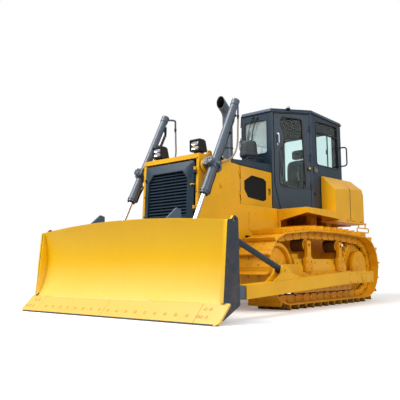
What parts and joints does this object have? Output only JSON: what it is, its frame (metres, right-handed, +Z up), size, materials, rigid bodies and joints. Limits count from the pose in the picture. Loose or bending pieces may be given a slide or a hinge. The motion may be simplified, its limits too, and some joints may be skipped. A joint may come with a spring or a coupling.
{
  "type": "crawler bulldozer",
  "caption": "Crawler bulldozer with a straight blade on outside push arms, twin lift cylinders, an enclosed cab, hinged engine doors, a hinged grille and fixed steel tracks.",
  "frame": {"origin": "on the ground under the middle of the machine's bounding box", "axes": "-Y to the front (the blade), +X to the machine's own left, +Z up"},
  "size_m": [3.38, 5.14, 3.1254],
  "materials": {
    "yellow_paint": "satin industrial paint",
    "grey_paint": "satin dark slate paint",
    "cylinder_paint": "satin grey paint",
    "rod_chrome": "polished hard chrome",
    "edge_steel": "painted over bare steel, worn bright at the lip",
    "track_steel": "painted cast and forged steel",
    "engine_iron": "cast, dull",
    "core_metal": "matt black fins",
    "black_plastic": "moulded, fine grain",
    "glass": "tinted safety glass",
    "lamp": "black shell with a clear lens",
    "seat_cloth": "woven cover"
  },
  "bodies": {
    "root": {"main_frame": "yellow_paint", "engine_block": "engine_iron", "radiator_core": "core_metal", "radiator_guard": "yellow_paint", "hood_top": "grey_paint", "side_panels": "yellow_paint", "pre_cleaner": "black_plastic", "exhaust_stack": "cylinder_paint", "headlights": "lamp", "cab_shell": "grey_paint", "cab_roof": "grey_paint", "cab_glass": "glass", "operator_seat": "seat_cloth", "control_console": "black_plastic", "fenders": "yellow_paint", "fuel_tank": "yellow_paint", "side_boxes": "yellow_paint", "drawbar": "yellow_paint", "rear_step": "yellow_paint", "track_frames": "yellow_paint", "idlers": "track_steel", "sprockets": "track_steel", "final_drives": "yellow_paint", "carrier_rollers": "track_steel", "track_rollers": "track_steel", "track_left": "track_steel", "track_right": "track_steel", "equalizer_bar": "yellow_paint", "lift_brackets": "cylinder_paint", "grab_handles": "grey_paint"},
    "blade": {"moldboard": "yellow_paint", "blade_frame": "grey_paint", "end_plates": "grey_paint", "cutting_edges": "edge_steel", "push_arms": "yellow_paint", "blade_braces": "grey_paint"},
    "barrel_left": {"lift_barrel_left": "cylinder_paint"},
    "barrel_right": {"lift_barrel_right": "cylinder_paint"},
    "rod_left": {"lift_rod_left": "rod_chrome"},
    "rod_right": {"lift_rod_right": "rod_chrome"},
    "grille": {"grille_door": "grey_paint", "grille_louvres": "black_plastic"},
    "engine_door_left": {"engine_door_left": "yellow_paint"},
    "engine_door_right": {"engine_door_right": "yellow_paint"},
    "cab_door_left": {"cab_door_left": "grey_paint", "cab_door_glass_left": "glass"},
    "cab_door_right": {"cab_door_right": "grey_paint", "cab_door_glass_right": "glass"}
  },
  "joints": [
    {"name": "blade_lift", "type": "hinge", "parent": "root", "child": "blade", "pos_m": [0, 1.35, 0.4], "axis": [-1, 0, 0], "range_deg": [-8, 16]},
    {"name": "lift_barrel_left_swing", "type": "hinge", "parent": "root", "child": "barrel_left", "pos_m": [0.66, -1.325, 1.862], "axis": [-1, 0, 0], "range_deg": [-9.62, 18.74]},
    {"name": "lift_rod_left_slide", "type": "slide", "parent": "barrel_left", "child": "rod_left", "axis": [0, -0.4581, -0.8889], "range_m": [-0.851, 0.43]},
    {"name": "lift_barrel_right_swing", "type": "hinge", "parent": "root", "child": "barrel_right", "pos_m": [-0.66, -1.325, 1.862], "axis": [-1, 0, 0], "range_deg": [-9.62, 18.74]},
    {"name": "lift_rod_right_slide", "type": "slide", "parent": "barrel_right", "child": "rod_right", "axis": [0, -0.4581, -0.8889], "range_m": [-0.851, 0.43]},
    {"name": "grille_door_swing", "type": "hinge", "parent": "root", "child": "grille", "pos_m": [0.458, -1.4965, 1.24611], "axis": [0, -0.0535, -0.9986], "range_deg": [-95, 0]},
    {"name": "engine_door_left_swing", "type": "hinge", "parent": "root", "child": "engine_door_left", "pos_m": [0.48196, -0.50049, 1.7], "axis": [0, 0, -1], "range_deg": [0, 95]},
    {"name": "engine_door_right_swing", "type": "hinge", "parent": "root", "child": "engine_door_right", "pos_m": [-0.48196, -0.50049, 1.7], "axis": [0, 0, 1], "range_deg": [0, 95]},
    {"name": "cab_door_left_swing", "type": "hinge", "parent": "root", "child": "cab_door_left", "pos_m": [0.6915, 1.1139, 2.2], "axis": [0, 0, 1], "range_deg": [0, 100]},
    {"name": "cab_door_right_swing", "type": "hinge", "parent": "root", "child": "cab_door_right", "pos_m": [-0.6915, 1.1139, 2.2], "axis": [0, 0, -1], "range_deg": [0, 100]}
  ],
  "couplings": [
    {"joint": "lift_barrel_left_swing", "follows": "blade_lift", "ratio": 1.14},
    {"joint": "lift_rod_left_slide", "follows": "blade_lift", "m_per_rad": -3.01},
    {"joint": "lift_barrel_right_swing", "follows": "blade_lift", "ratio": 1.14},
    {"joint": "lift_rod_right_slide", "follows": "blade_lift", "m_per_rad": -3.01}
  ]
}
